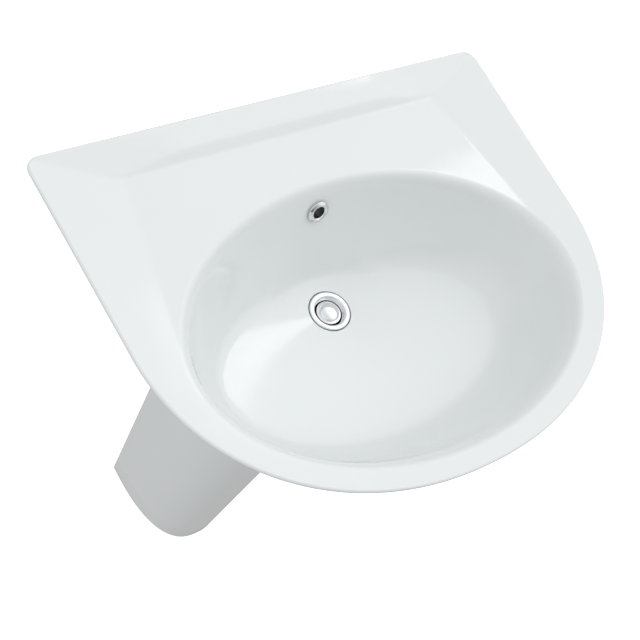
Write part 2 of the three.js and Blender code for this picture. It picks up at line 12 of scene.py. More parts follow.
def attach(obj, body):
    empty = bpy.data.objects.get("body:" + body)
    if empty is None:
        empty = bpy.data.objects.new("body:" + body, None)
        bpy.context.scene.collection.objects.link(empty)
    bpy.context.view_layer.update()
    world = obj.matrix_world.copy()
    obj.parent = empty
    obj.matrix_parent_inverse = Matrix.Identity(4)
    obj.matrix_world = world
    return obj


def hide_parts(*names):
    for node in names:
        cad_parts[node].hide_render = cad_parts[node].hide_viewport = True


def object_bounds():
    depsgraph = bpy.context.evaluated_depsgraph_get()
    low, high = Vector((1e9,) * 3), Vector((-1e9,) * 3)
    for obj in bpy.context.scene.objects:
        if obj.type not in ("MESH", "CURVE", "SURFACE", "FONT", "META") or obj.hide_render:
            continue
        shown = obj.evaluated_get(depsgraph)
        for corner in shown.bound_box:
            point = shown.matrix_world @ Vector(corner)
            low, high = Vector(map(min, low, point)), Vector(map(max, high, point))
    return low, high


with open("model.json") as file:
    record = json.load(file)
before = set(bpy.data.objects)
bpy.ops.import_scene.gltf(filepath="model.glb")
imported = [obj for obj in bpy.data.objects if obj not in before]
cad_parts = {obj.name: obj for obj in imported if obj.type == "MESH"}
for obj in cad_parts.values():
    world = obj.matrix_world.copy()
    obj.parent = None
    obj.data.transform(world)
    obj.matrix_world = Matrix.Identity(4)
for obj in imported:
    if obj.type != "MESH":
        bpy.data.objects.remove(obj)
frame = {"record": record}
cad_box = [list(corner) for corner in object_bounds()]

# ------------------------------------------------------------------ the basin's dimensions
# Millimetres. Pieces are drawn from the wall plane (y = 0), the centre plane (x = 0) and the top of the
# rim (z = 0), and piece() moves them to their place in the frame and turns them into metres.
MM = 0.001
low, high = (Vector(corner) / MM for corner in cad_box)
RIM = 820
AT_RIM = Vector((0, high.y, RIM))

DEPTH = high.y - low.y
HALF_WIDTH = 300
FRONT_HALF_WIDTH = 294
SIDE_LENGTH = 228
CORNER_RADIUS = 17
FRONT_POWER = 2.15
RIM_THICKNESS = 14
EDGE_RADIUS = 2.5
UNDERCUT = 8  # how far the edge slopes back below its rounding

BAND_SLOPE = 0.11  # the flat band round the rim, which falls inwards
LEDGE_SLOPE = 0.06  # at the wall
LEDGE_ROLL = 0.06  # what the slope gains by the top of the riser
LEDGE_END_SLOPE = 0.2
LEDGE_ENDS = (125, 205)
RISER_TOP = 34
RISER_SLOPE = 0.58
DECK_REAR = 46
DECK_END = 250
DECK_DEPTH = 10
DECK_RISE = 0.021
RISER_SOFTNESS = 1
BAND_SOFTNESS = 0.35

BOWL_Y = -282.5
BOWL_HALF_WIDTH = 244
BOWL_HALF_DEPTH = 166.5
WALL_SLOPE = tan(radians(67))
FLOOR_DEPTH = 123
FLOOR_SLOPE = 0.16
LIP_SOFTNESS = 18
BOWL_SOFTNESS = 60
SEAT_SOFTNESS = 12
SHELL_ON_FLAT = 13
SHELL_ON_WALL = 30

DRAIN_Y = -220
SEAT_RADIUS = 26.4
SEAT_Z = -FLOOR_DEPTH - 4
WASTE_BORE = 22.5
FLANGE_RADIUS = 25.2
BOSS_RADIUS = 40
BOSS_BOTTOM = -172
OUTLET_Z = -285
OVERFLOW_Y = -134.5
OVERFLOW_Z = -39
OVERFLOW_BORE = 11
OVERFLOW_RING = 13.4
COVER_FOOT = -112
STUD_X = 140
STUD_Z = -78
STUD_HOLE = 7.2

PEDESTAL_BACK = -97
PEDESTAL_FOOT = (75, 157)
PEDESTAL_GROWTH = (0.0227, 0.058)
PEDESTAL_WALL = 12
PEDESTAL_TOP = -121
PEDESTAL_GAP = 5
FLOOR_SCREW_X = 47
FLOOR_SCREW_Y = -128

STATIONS = 480  # points round each ring of the basin
ORIGIN = Vector((0, 0, 0))
AT_DRAIN = AT_RIM + Vector((0, DRAIN_Y, 0))
AT_OUTLET = AT_DRAIN + Vector((0, 0, OUTLET_Z))


# ------------------------------------------------------------------ camera
def make_camera():
    """The view from the front left and above, with the camera rolled over to its right."""
    place = (-0.6937, -0.3717, 1.7915)
    azimuth, elevation, roll = radians(-60.43), radians(54.62), radians(34.90)
    back = Vector((sin(azimuth) * cos(elevation), -cos(azimuth) * cos(elevation), sin(elevation)))
    right = Vector((cos(azimuth), sin(azimuth), 0))
    up = back.cross(right)
    across = right * cos(roll) + up * sin(roll)
    upright = up * cos(roll) - right * sin(roll)
    camera = bpy.data.objects.new("camera", bpy.data.cameras.new("camera"))
    turn = Matrix((across, upright, back)).transposed().to_4x4()
    camera.matrix_world = Matrix.Translation(place) @ turn
    camera.data.lens = 65.74
    camera.data.sensor_width = 36
    camera.data.clip_end = 50
    bpy.context.scene.collection.objects.link(camera)
    bpy.context.scene.camera = camera


make_camera()


# ------------------------------------------------------------------ mesh helpers
def piece(name, points, faces, place=AT_RIM):
    """A new object from points in millimetres, drawn from a place in the frame."""
    mesh = bpy.data.meshes.new(name)
    mesh.from_pydata([tuple((Vector(p) + place) * MM) for p in points], [], faces)
    mesh.validate()
    made = bpy.data.objects.new(name, mesh)
    bpy.context.scene.collection.objects.link(made)
    return made


def fix_normals(made):
    """Turns every face outwards."""
    bm = bmesh.new()
    bm.from_mesh(made.data)
    bmesh.ops.remove_doubles(bm, verts=bm.verts, dist=1e-7)
    bmesh.ops.recalc_face_normals(bm, faces=bm.faces)
    bm.to_mesh(made.data)
    bm.free()
    return made


def smooth(made, degrees=35):
    """Smooth shading, with edges sharper than an angle kept crisp."""
    mesh = made.data
    mesh.shade_smooth()
    mesh.set_sharp_from_angle(angle=radians(degrees))
    return made


def apply(made, kind, **settings):
    """Adds one modifier, sets it and applies it."""
    modifier = made.modifiers.new(kind.lower(), kind)
    for name, value in settings.items():
        setattr(modifier, name, value)
    depsgraph = bpy.context.evaluated_depsgraph_get()
    mesh = bpy.data.meshes.new_from_object(made.evaluated_get(depsgraph))
    made.modifiers.clear()
    old = made.data
    made.data = mesh
    mesh.name = old.name
    bpy.data.meshes.remove(old)
    return made


def combine(made, tools, operation):
    """Joins tools to a piece, or cuts them out of it, and removes them."""
    for tool in tools:
        apply(made, "BOOLEAN", object=tool, operation=operation, solver="MANIFOLD")
        bpy.data.objects.remove(tool)
    return made


def loft_loop(name, rings):
    """A closed torus-like surface through a closed loop of closed rings."""
    count = len(rings[0])
    points = [p for ring in rings for p in ring]
    faces = []
    for j in range(len(rings)):
        after = (j + 1) % len(rings)
        for i in range(count):
            k = (i + 1) % count
            faces.append((j * count + i, j * count + k, after * count + k, after * count + i))
    return piece(name, points, faces)


def turned(name, profile, segments=96, place=AT_RIM, axis="z", shape=None):
    """A closed profile of (radius, height) turned about an axis; radius 0 makes a pole.

    shape(radius, height, angle) gives the radius where a piece isn't round.
    """
    turns = {
        "z": lambda x, y, z: (x, y, z),
        "y": lambda x, y, z: (x, z, -y),
        "-y": lambda x, y, z: (x, -z, y),
    }
    points, faces, rows = [], [], []
    for radius, height in profile:
        if radius == 0:
            rows.append([len(points)] * segments)
            points.append(turns[axis](0, 0, height))
            continue
        rows.append(list(range(len(points), len(points) + segments)))
        for i in range(segments):
            angle = 2 * pi * i / segments
            out = shape(radius, height, angle) if shape else radius
            points.append(turns[axis](out * cos(angle), out * sin(angle), height))
    for j in range(len(rows) if profile[0][0] else len(rows) - 1):
        one, two = rows[j], rows[(j + 1) % len(rows)]
        for i in range(segments):
            k = (i + 1) % segments
            face = tuple(dict.fromkeys((one[i], one[k], two[k], two[i])))
            if len(face) > 2:
                faces.append(face)
    return fix_normals(piece(name, points, faces, place))


def rod(name, radius, bottom, top, segments=64, place=AT_RIM, axis="z"):
    return turned(name, [(0, bottom), (radius, bottom), (radius, top), (0, top)], segments, place, axis)


def extruded_faces(count):
    """The two ends and the sides of an extruded outline of so many points."""
    faces = [tuple(range(count)), tuple(range(2 * count - 1, count - 1, -1))]
    return faces + [(i, (i + 1) % count, count + (i + 1) % count, count + i) for i in range(count)]


def prism(name, outline, bottom, top, place=AT_RIM):
    """An outline in (x, y) extruded upwards."""
    points = [(x, y, z) for z in (bottom, top) for x, y in outline]
    return fix_normals(piece(name, points, extruded_faces(len(outline)), place))


def slab(name, outline, x, width, round_by=0.0):
    """An outline in (y, z) extruded across X, centred on x, with its edges rounded."""
    points = [(x + side * width / 2, y, z) for side in (-1, 1) for y, z in outline]
    made = fix_normals(piece(name, points, extruded_faces(len(outline))))
    if round_by:
        apply(made, "BEVEL", width=round_by * MM, segments=4, limit_method="ANGLE", angle_limit=radians(20))
    return made


# ------------------------------------------------------------------ the basin's surfaces
def smooth_min(a, b, softness):
    near = np.maximum(softness - np.abs(a - b), 0) / softness
    return np.minimum(a, b) - near * near * softness / 4


def smooth_max(a, b, softness):
    return -smooth_min(-a, -b, softness)


def side_distance(x, y):
    """How far a point in plan is inside the straight sides or the rounded front."""
    along = np.maximum((-y - CORNER_RADIUS) / (SIDE_LENGTH - CORNER_RADIUS), 0)
    straight = HALF_WIDTH + (FRONT_HALF_WIDTH - HALF_WIDTH) * along - np.abs(x)
    front_length = DEPTH - SIDE_LENGTH
    u = np.abs(x) / FRONT_HALF_WIDTH
    v = np.maximum(-y - SIDE_LENGTH, 0) / front_length
    r = np.maximum((u**FRONT_POWER + v**FRONT_POWER) ** (1 / FRONT_POWER), 1e-6)
    steepness = np.hypot(
        (u / r) ** (FRONT_POWER - 1) / FRONT_HALF_WIDTH, (v / r) ** (FRONT_POWER - 1) / front_length
    )
    return np.where(y > -SIDE_LENGTH, straight, (1 - r) / steepness)


def inside(x, y):
    """How far a point in plan is inside the whole outline, with its round rear corners."""
    dx = np.abs(x) - (HALF_WIDTH - CORNER_RADIUS)
    dy = y + CORNER_RADIUS
    corner = CORNER_RADIUS - np.hypot(dx, dy)
    return np.where((dx > 0) & (dy > 0), corner, np.minimum(side_distance(x, y), -y))


def rolled_height(depth):
    """The ledge's height at a distance from the wall; it rolls forwards towards the riser."""
    return -depth * (LEDGE_SLOPE + LEDGE_ROLL * depth / (2 * RISER_TOP))


def rim_height(x, y):
    """The top of the rim, ledge, riser and deck, as if there were no bowl."""
    turn = np.clip((np.abs(x) - LEDGE_ENDS[0]) / (LEDGE_ENDS[1] - LEDGE_ENDS[0]), 0, 1)
    turn = turn * turn * (3 - 2 * turn)
    ledge = rolled_height(-y) * (1 - turn) + LEDGE_END_SLOPE * y * turn
    riser = rolled_height(RISER_TOP) - RISER_SLOPE * (-y - RISER_TOP)
    deck = -DECK_DEPTH + DECK_RISE * (np.minimum(-y, DECK_END) - DECK_REAR)
    rear = smooth_max(smooth_min(ledge, riser, RISER_SOFTNESS), deck, RISER_SOFTNESS)
    return smooth_max(-BAND_SLOPE * side_distance(x, y), rear, BAND_SOFTNESS)


def outside_bowl(x, y):
    """Distance outside the bowl's ellipse, negative inside it."""
    u = x / BOWL_HALF_WIDTH
    v = (y - BOWL_Y) / BOWL_HALF_DEPTH
    r = np.maximum(np.hypot(u, v), 1e-6)
    return (r - 1) * r / np.hypot(u / BOWL_HALF_WIDTH, v / BOWL_HALF_DEPTH)


def bowl_height(x, y, below_wall, below_floor):
    """The bowl's wall and floor, each lowered by an amount."""
    from_seat = np.maximum(np.hypot(x, y - DRAIN_Y) - SEAT_RADIUS, 0)
    wall = WALL_SLOPE * outside_bowl(x, y) - below_wall
    floor = FLOOR_SLOPE * from_seat - FLOOR_DEPTH - below_floor
    return smooth_max(wall, floor, np.minimum(SEAT_SOFTNESS + from_seat, BOWL_SOFTNESS))


def top_height(x, y):
    return smooth_min(rim_height(x, y), bowl_height(x, y, 0, 0), LIP_SOFTNESS)


def underside_height(x, y):
    bowl = bowl_height(x, y, SHELL_ON_WALL, SHELL_ON_FLAT)
    return smooth_min(rim_height(x, y) - SHELL_ON_FLAT, bowl, LIP_SOFTNESS)


def rim_points(angles, depth):
    """Where rays from the bowl's centre reach a depth inside the outline."""
    near, far = np.zeros_like(angles), np.full_like(angles, 2 * HALF_WIDTH)
    for _ in range(40):
        middle = (near + far) / 2
        within = inside(middle * np.cos(angles), BOWL_Y + middle * np.sin(angles)) > depth
        near, far = np.where(within, middle, near), np.where(within, far, middle)
    return np.stack([near * np.cos(angles), BOWL_Y + near * np.sin(angles)], 1)


def even_angles(count):
    """Ray angles that meet the outline at even steps along it."""
    fine = np.linspace(0, 2 * pi, 4001)
    outline = rim_points(fine, 0)
    steps = np.hypot(*np.diff(outline, axis=0).T)
    length = np.concatenate([[0], np.cumsum(steps)])
    return np.interp(np.arange(count) / count * length[-1], length, fine)


# ------------------------------------------------------------------ the basin
def basin_shell():
    angles = even_angles(STATIONS)
    bowl_radius = 1 / np.hypot(np.cos(angles) / BOWL_HALF_WIDTH, np.sin(angles) / BOWL_HALF_DEPTH)
    lip = np.stack([bowl_radius * np.cos(angles), BOWL_Y + bowl_radius * np.sin(angles)], 1)
    seat = np.stack([SEAT_RADIUS * np.cos(angles), DRAIN_Y + SEAT_RADIUS * np.sin(angles)], 1)
    rim = rim_points(angles, EDGE_RADIUS)

    def at(plan, height):
        return np.column_stack([plan, np.broadcast_to(height, len(plan))])

    def edge(depth, z):
        return at(rim_points(angles, depth), z)

    def on(height, start, end, shares):
        plans = [start + (end - start) * share for share in shares]
        return [at(plan, height(plan[:, 0], plan[:, 1])) for plan in plans]

    def drain(radius, z):
        return at(np.column_stack([radius * np.cos(angles), DRAIN_Y + radius * np.sin(angles)]), z)

    upper = [edge(EDGE_RADIUS * (1 - sin(t)), -EDGE_RADIUS * (1 - cos(t)) - 0.4)
             for t in np.radians(np.linspace(108, 9, 12))]
    lower = [edge(UNDERCUT + 2 * (1 - cos(t)), -RIM_THICKNESS + 2 * (1 - sin(t)))
             for t in np.radians(np.linspace(90, -10, 7))]
    seat_bottom = -FLOOR_DEPTH - SHELL_ON_FLAT
    rings = [edge(UNDERCUT + 4, -RIM_THICKNESS), *lower, *upper]
    rings += on(top_height, rim, lip, np.linspace(0, 1, 101))
    rings += on(top_height, lip, seat, np.linspace(0, 1, 73)[1:] ** 1.25)
    rings += [drain(SEAT_RADIUS - 0.2, SEAT_Z + 0.4), drain(SEAT_RADIUS - 0.8, SEAT_Z)]
    rings += [drain(WASTE_BORE - 0.3, SEAT_Z), drain(WASTE_BORE - 0.3, seat_bottom)]
    rings += on(underside_height, seat, lip, np.linspace(0, 1, 19))
    rings += on(underside_height, lip, rim, [0.2, 0.4, 0.6, 0.8])
    return fix_normals(loft_loop("basin_body", rings))


def behind_bowl(z, offset):
    """A point out from the bowl's rear wall, as (y, z)."""
    tilt = atan(WALL_SLOPE)
    y = OVERFLOW_Y + (z - OVERFLOW_Z) / WALL_SLOPE
    return (y + offset * sin(tilt), z - offset * cos(tilt))


def on_overflow(made):
    """Stands a piece that was made about Z at the frame's origin on the overflow's axis."""
    turn = Matrix.Rotation(pi / 2 - atan(1 / WALL_SLOPE), 4, "X")
    place = (AT_RIM + Vector((0, OVERFLOW_Y, OVERFLOW_Z))) * MM
    made.data.transform(Matrix.Translation(place) @ turn)
    return made


def basin():
    cover_outline = [behind_bowl(-22, 6), behind_bowl(COVER_FOOT, 6), (-190, -131), (-190, -168),
                     (-150, -166), behind_bowl(COVER_FOOT, 30), behind_bowl(-22, 30)]
    passage_outline = [behind_bowl(-28, 12), behind_bowl(COVER_FOOT, 12), (-190, -142), (-190, -157),
                       (-161, -157), behind_bowl(COVER_FOOT, 21), behind_bowl(-28, 21)]
    rib_outline = [(-1, -10), (-1, -150), (-34, -150), (-130, -96), (-178, -60), (-178, -14)]
    wall_outline = [(0, -8), (0, -150), (-14, -150), (-14, -8)]
    bore = WASTE_BORE - 0.3
    boss = turned("boss", [
        (bore, BOSS_BOTTOM), (BOSS_RADIUS - 3, BOSS_BOTTOM), (BOSS_RADIUS, BOSS_BOTTOM + 3),
        (BOSS_RADIUS, SEAT_Z - 1), (bore, SEAT_Z - 1)], 96, AT_DRAIN)
    solids = [slab("cover", cover_outline, 0, 56, 5), boss, slab("rear", wall_outline, 0, 432)]
    solids += [slab("rib", rib_outline, side * 210, 12) for side in (-1, 1)]
    tools = [slab("passage", passage_outline, 0, 36), rod("chamber", 31, -158, -141, 64, AT_DRAIN),
             rod("bore", WASTE_BORE, BOSS_BOTTOM - 5, SEAT_Z + 3, 96, AT_DRAIN),
             on_overflow(rod("hole", OVERFLOW_BORE, -15, 6, 64, ORIGIN)),
             on_overflow(rod("seat", OVERFLOW_RING + 0.3, 0, 6, 64, ORIGIN))]
    tools += [rod("stud_hole", STUD_HOLE, -25, 5, 48, AT_RIM + Vector((side * STUD_X, 0, STUD_Z)), "y")
              for side in (-1, 1)]
    made = basin_shell()
    combine(made, solids, "UNION")
    combine(made, tools, "DIFFERENCE")
    return smooth(made)


# ------------------------------------------------------------------ the pedestal
def pedestal_plan(height, steps=28):
    """The U in plan at a height: the outside from right to left, then the inside back again."""
    half_width = PEDESTAL_FOOT[0] + PEDESTAL_GROWTH[0] * height
    depth = PEDESTAL_FOOT[1] + PEDESTAL_GROWTH[1] * height
    angle = np.linspace(0, pi, 2 * steps + 1)
    across = half_width * np.sign(np.cos(angle)) * np.abs(np.cos(angle)) ** 0.8
    outside = np.stack([across, PEDESTAL_BACK - depth * np.sin(angle) ** 0.8], 1)
    along = np.gradient(outside, axis=0)
    along /= np.hypot(*along.T)[:, None]
    within = outside + np.stack([along[:, 1], -along[:, 0]], 1) * PEDESTAL_WALL
    turn_in = half_width - 26
    back = PEDESTAL_BACK
    within[0] = (half_width - PEDESTAL_WALL, back - PEDESTAL_WALL)
    within[-1] = (-(half_width - PEDESTAL_WALL), back - PEDESTAL_WALL)
    outside = np.vstack([[(turn_in, back)], outside, [(-turn_in, back)]])
    within = np.vstack([[(turn_in, back - PEDESTAL_WALL)], within, [(-turn_in, back - PEDESTAL_WALL)]])
    return outside, within


def pedestal():
    heights = np.linspace(0, RIM + PEDESTAL_TOP, 15)
    rings = []
    for height in heights:
        outside, within = pedestal_plan(height)
        plan = np.vstack([outside, within[::-1]])
        level = np.full(len(plan), height - RIM)
        if height == heights[-1]:
            under = underside_height(plan[:, 0], plan[:, 1]) - PEDESTAL_GAP
            level = np.minimum(PEDESTAL_TOP, under)
        rings.append(np.column_stack([plan, level]))
    count = len(rings[0])
    half = count // 2
    points = [p for ring in rings for p in ring]
    faces = []
    for j in range(len(rings) - 1):
        for i in range(count):
            k = (i + 1) % count
            faces.append((j * count + i, j * count + k, (j + 1) * count + k, (j + 1) * count + i))
    for start in (0, (len(rings) - 1) * count):
        for i in range(half - 1):
            faces.append(tuple(start + p for p in (i, i + 1, count - 2 - i, count - 1 - i)))
    made = fix_normals(piece("pedestal_body", points, faces))
    apply(made, "BEVEL", width=2 * MM, segments=4, limit_method="ANGLE", angle_limit=radians(40))
    lugs = []
    for side in (-1, 1):
        x = side * 57
        outline = [(-144, -RIM + 0.2), (-108, -RIM + 0.2), (-108, -RIM + 16), (-144, -RIM + 16)]
        lugs.append(slab("lug", outline, x, 26))
    holes = [
        rod("hole", 3.6, -RIM - 1, -RIM + 30, 32, AT_RIM + Vector((side * FLOOR_SCREW_X, FLOOR_SCREW_Y, 0)))
        for side in (-1, 1)
    ]
    combine(made, lugs, "UNION")
    combine(made, holes, "DIFFERENCE")
    return smooth(made)


# ------------------------------------------------------------------ waste, plug and overflow
def arc(radius, height, size, start, end, steps=8):
    """Points of a profile's rounding about (radius, height), by angle in degrees."""
    turns = np.radians(np.linspace(start, end, steps + 1))
    return [(radius + size * cos(t), height + size * sin(t)) for t in turns]


def thread(pitch, depth, bottom, top, crest):
    """A shape that cuts a screw thread between two heights of the surface at the crest radius."""

    def shape(radius, height, angle):
        if not bottom < height < top or radius != crest:
            return radius
        turn = (height / pitch - angle / (2 * pi)) % 1
        return radius - depth * abs(2 * turn - 1)

    return shape


def rows(radius, bottom, top, pitch):
    """Close rows of a profile up a threaded length."""
    count = int((top - bottom) / pitch * 6)
    return [(radius, bottom + (top - bottom) * i / count) for i in range(count + 1)]


def overflow_ring():
    hole, shaft, brim = 7.3, 10.6, OVERFLOW_RING
    face = arc(9.6, 0.9, 2.3, 60, 180, 12)
    return on_overflow(turned("overflow_trim", [
        (hole, -9), (shaft, -9), (shaft, 0.3), (brim, 0.3), *arc(brim - 0.8, 1, 0.8, 0, 75, 5),
        *face, (hole, 0.6)], 96, ORIGIN))


def waste_body():
    top, tail, crest = -FLOOR_DEPTH + 1, -205, 20.9
    under = SEAT_Z + 1.8
    profile = [(18, tail), (crest - 1, tail), *rows(crest, tail + 0.6, under - 2, 2.3), (crest, under),
               (FLANGE_RADIUS - 0.7, under), *arc(FLANGE_RADIUS - 1.6, top - 1.6, 1.6, -20, 90, 8),
               *arc(20.8, top - 2.6, 2.5, 95, 128, 5), (17.9, top - 3.3), (16.7, top - 4.6),
               (16.2, top - 6), (16.2, top - 9), (18, top - 12)]
    made = turned("waste_fitting", profile, 96, AT_DRAIN, shape=thread(2.3, 0.9, tail + 1, -150, crest))
    windows = []
    for x, y in ((8, 24), (24, 8)):
        window = [(-x, -y), (x, -y), (x, y), (-x, y)]
        windows.append(prism("window", window, -156, -143, AT_DRAIN))
    hub = turned("hub", [(7.3, -172), (9.6, -172), (9.6, -158), (7.3, -158)], 48, AT_DRAIN)
    arms = []
    for degrees in (30, 150, 270):
        arm = prism("arm", [(8.6, -1.6), (19, -1.6), (19, 1.6), (8.6, 1.6)], -170, -162, ORIGIN)
        arm.data.transform(Matrix.Translation(AT_DRAIN * MM) @ Matrix.Rotation(radians(degrees), 4, "Z"))
        arms.append(arm)
    combine(made, windows, "DIFFERENCE")
    combine(made, [hub, *arms], "UNION")
    return smooth(made)


def plug_cap():
    top = -FLOOR_DEPTH + 0.6
    dome = [(11.8 * cos(t), top - 3.6 + 3.6 * sin(t)) for t in np.radians(np.linspace(8, 85, 14))]
    return smooth(turned("plug_dome", [
        (0, top - 8.5), (12, top - 8.5), (12, top - 6.2), (14.4, top - 5.4),
        *arc(14.5, top - 4.7, 0.6, -60, 90, 6), (12.6, top - 3.9), (12.2, top - 3.7), *dome,
        (0, top)], 96, AT_DRAIN), 50)


def plug_seal():
    z = -FLOOR_DEPTH
    return smooth(turned("plug_o_ring", [
        (12.3, z - 7.8), *arc(13.8, z - 6.9, 0.9, -90, 90, 8), (12.3, z - 6.3)], 96, AT_DRAIN))


def plug_stem():
    top = -FLOOR_DEPTH - 8.2
    return smooth(turned("plug_rod", [
        (0, -169), (2.2, -169), (2.6, -168.6), (2.6, -164), (2.1, -163.6), (2.1, -162), (2.6, -161.6),
        (2.6, -145), (3.6, -145), (4, -144.6), *rows(4, -144, top - 0.4, 1.0), (3.6, top), (0, top)],
        48, AT_DRAIN, shape=thread(1.0, 0.4, -144, top - 0.5, 4)))


def click_cartridge():
    barrel = 6.9

    def grip(radius, height, angle):
        return radius - 0.3 * (cos(12 * angle) > 0.2) if radius == barrel else radius

    return smooth(turned("cartridge_case", [
        (3, -184), (6.5, -184), (barrel, -183.6), (barrel, -158), (barrel, -157.7), (9.2, -157.7),
        (9.4, -157.5), (9.4, -155.8), (9.1, -155.5), (3, -155.5), (3, -157.5), (5.6, -157.5),
        (5.6, -182), (3, -182)], 96, AT_DRAIN, shape=grip))


def coil(name, radius, wire, bottom, top, turns, place):
    """A helical spring of round wire."""
    steps, sides = int(turns * 32), 12
    points, faces = [], []
    for i in range(steps + 1):
        angle = 2 * pi * turns * i / steps
        z = bottom + (top - bottom) * i / steps
        for j in range(sides):
            around = 2 * pi * j / sides
            out = radius + wire * cos(around)
            points.append((out * cos(angle), out * sin(angle), z + wire * sin(around)))
    for i in range(steps):
        for j in range(sides):
            k = (j + 1) % sides
            faces.append((i * sides + j, i * sides + k, (i + 1) * sides + k, (i + 1) * sides + j))
    faces += [tuple(range(sides)), tuple(range(steps * sides, (steps + 1) * sides))]
    return smooth(fix_normals(piece(name, points, faces, place)), 60)


# ------------------------------------------------------------------ seals, nuts and trap
def waste_top_seal():
    z = SEAT_Z
    return turned("waste_gasket", [
        (22.6, z + 0.3), (24.5, z + 0.3), (24.8, z + 0.6), (24.8, z + 1.2), (24.5, z + 1.5),
        (22.6, z + 1.5)], 96, AT_DRAIN)


def waste_lower_seal():
    top = BOSS_BOTTOM - 0.3
    return turned("waste_tapered_seal", [(21.3, -181), *arc(33, -180, 1, -90, 0, 5), (34, -177),
                                         *arc(26, top - 1, 1, 35, 90, 4), (21.3, top)], 96, AT_DRAIN)


def ring(name, inner, outer, bottom, top, place, axis="z", edge=0.3):
    """A washer or sleeve with its edges eased."""
    return turned(name, [
        (inner, bottom + edge), (inner + edge, bottom), (outer - edge, bottom), (outer, bottom + edge),
        (outer, top - edge), (outer - edge, top), (inner + edge, top), (inner, top - edge)], 64, place, axis)


def hex_nut(name, across_flats, bore, bottom, top, place, axis="z"):
    """A hexagonal nut, chamfered where its corners meet its faces."""
    corner, flat = across_flats / sqrt(3), across_flats / 2
    chamfer = (corner - flat) * 0.55

    def hexagon(radius, height, angle):
        side = flat / cos((angle + pi / 6) % (pi / 3) - pi / 6)
        return min(radius, side) if radius > bore + 1 else radius

    profile = [(bore, bottom + 0.6), (bore + 0.6, bottom), (flat, bottom), (corner, bottom + chamfer),
               (corner, top - chamfer), (flat, top), (bore + 0.6, top), (bore, top - 0.6)]
    return smooth(turned(name, profile, 96, place, axis, hexagon), 30)


def ribbed(count, depth, crest):
    """A shape with upright grip ribs on the surface at the crest radius."""

    def shape(radius, height, angle):
        if radius < crest - 0.01:
            return radius
        return radius - depth * (0.5 - 0.5 * cos(count * angle)) ** 3

    return shape


def inlet_tube():
    return turned("inlet_tail_tube", [
        (14.6, -332), (15.7, -332), (16, -331.7), (16, -210.4), *arc(19.6, -208.4, 0.8, -90, 0, 4),
        *arc(19.6, -207.7, 0.8, 0, 90, 4), (14.6, -206.9)], 96, AT_DRAIN)


def inlet_nut():
    return turned("inlet_grip_nut", [
        (16.4, -214), (23.6, -214), *arc(24.4, -213, 1, -70, 0, 4), (25.4, -199),
        *arc(24.4, -199, 1, 10, 90, 4), (21.3, -198), (21.3, -209.7), (16.4, -209.7)],
        144, AT_DRAIN, shape=ribbed(24, 1.2, 25.4))


def neck_nut():
    return turned("neck_grip_nut", [
        (20.4, -257), (23.6, -257), *arc(23.6, -256, 1, -70, 0, 4), (24.6, -242),
        *arc(23.1, -241.1, 1.5, 10, 90, 5), (16.4, -239.6), (16.4, -242.6), (20.4, -242.6)],
        144, AT_DRAIN, shape=ribbed(24, 1.1, 24.6))


def neck_seal():
    return turned("neck_cone_seal", [
        (16.3, -245.7), (20, -245.7), (19.8, -245.2), (17.6, -242.9), (16.3, -242.9)], 96, AT_DRAIN)


def trap_body():
    crest = 30
    profile = [(27, -345), (29, -345), *rows(crest, -344.4, -328, 3), (crest, -327), (crest, -270),
               *arc(crest - 5, -269, 5, 0, 60, 6), *arc(21.5, -262.5, 1.5, -115, -180, 4), (20, -258),
               (20, -246.3), (19.7, -246), (16.6, -246), (16.6, -266), (27, -269)]
    made = turned("trap_bottle", profile, 96, AT_DRAIN, shape=thread(3, 1.2, -344, -327.5, crest))
    spout = turned("spout", [(0, 20), (20, 20), (20, 51.6), (19.6, 52), (0, 52)], 96, AT_OUTLET, "y")
    hollow = turned("hollow", [(0, -350), (27, -350), (27, -269), (16.6, -266), (0, -266)], 96, AT_DRAIN)
    bore = rod("bore", 16.6, 19, 56, 96, AT_OUTLET, "y")
    combine(made, [spout], "UNION")
    combine(made, [hollow, bore], "DIFFERENCE")
    return smooth(made)


def trap_cup():
    crest = 38.2
    outside = [(0, -392), (26, -392), (30, -391), (33.5, -388), (34.6, -384), (36, -380), (crest, -376),
               (crest, -332), (37.4, -327), *arc(35.4, -327, 1, 0, 90, 4)]
    within = [(30.6, -326), (30.6, -350), (29.5, -350.6), (29.5, -385), (26, -388.5), (0, -388.5)]
    made = turned("trap_bottom_cup", outside + within, 192, AT_DRAIN, shape=ribbed(16, 1.8, crest))
    return smooth(made, 40)


def outlet_nut():
    return turned("outlet_grip_nut", [
        (20.4, 41), (23.6, 41), *arc(23.6, 42, 1, -70, 0, 4), (24.6, 56.5), *arc(23.1, 57.5, 1.5, 0, 90, 5),
        (16.4, 59), (16.4, 56), (20.4, 56)], 144, AT_OUTLET, "y", ribbed(24, 1.1, 24.6))


def wall_rosette():
    wall = -DRAIN_Y - 0.3
    flare = [(20 + 15 * t**2.2, wall - 13.5 + 12.5 * (1 - (1 - t) ** 1.6)) for t in np.linspace(0, 1, 14)]
    return turned("wall_flange_cover", [(16.4, wall - 15), *arc(18.5, wall - 14.2, 0.8, -90, -20, 3), *flare,
                                        (35, wall), (33.6, wall), (16.4, wall)], 96, AT_OUTLET, "y")


# ------------------------------------------------------------------ fixings
def wall_stud(place):
    profile = [(0, 0.3), (4.9, 0.3), *rows(4.9, 20, 51.4, 1.5), (4.4, 52), (0, 52)]
    return smooth(turned("stud", profile, 32, place, "-y", thread(1.5, 0.8, 20, 51, 4.9)), 50)


def wall_sleeve(place):
    return turned("sleeve", [
        (5.2, 2), (6.6, 2), (6.9, 2.4), (6.9, 14.3), (13.6, 14.3), (14, 14.7), (14, 16.6),
        (13.6, 17), (5.2, 17)], 64, place, "-y")


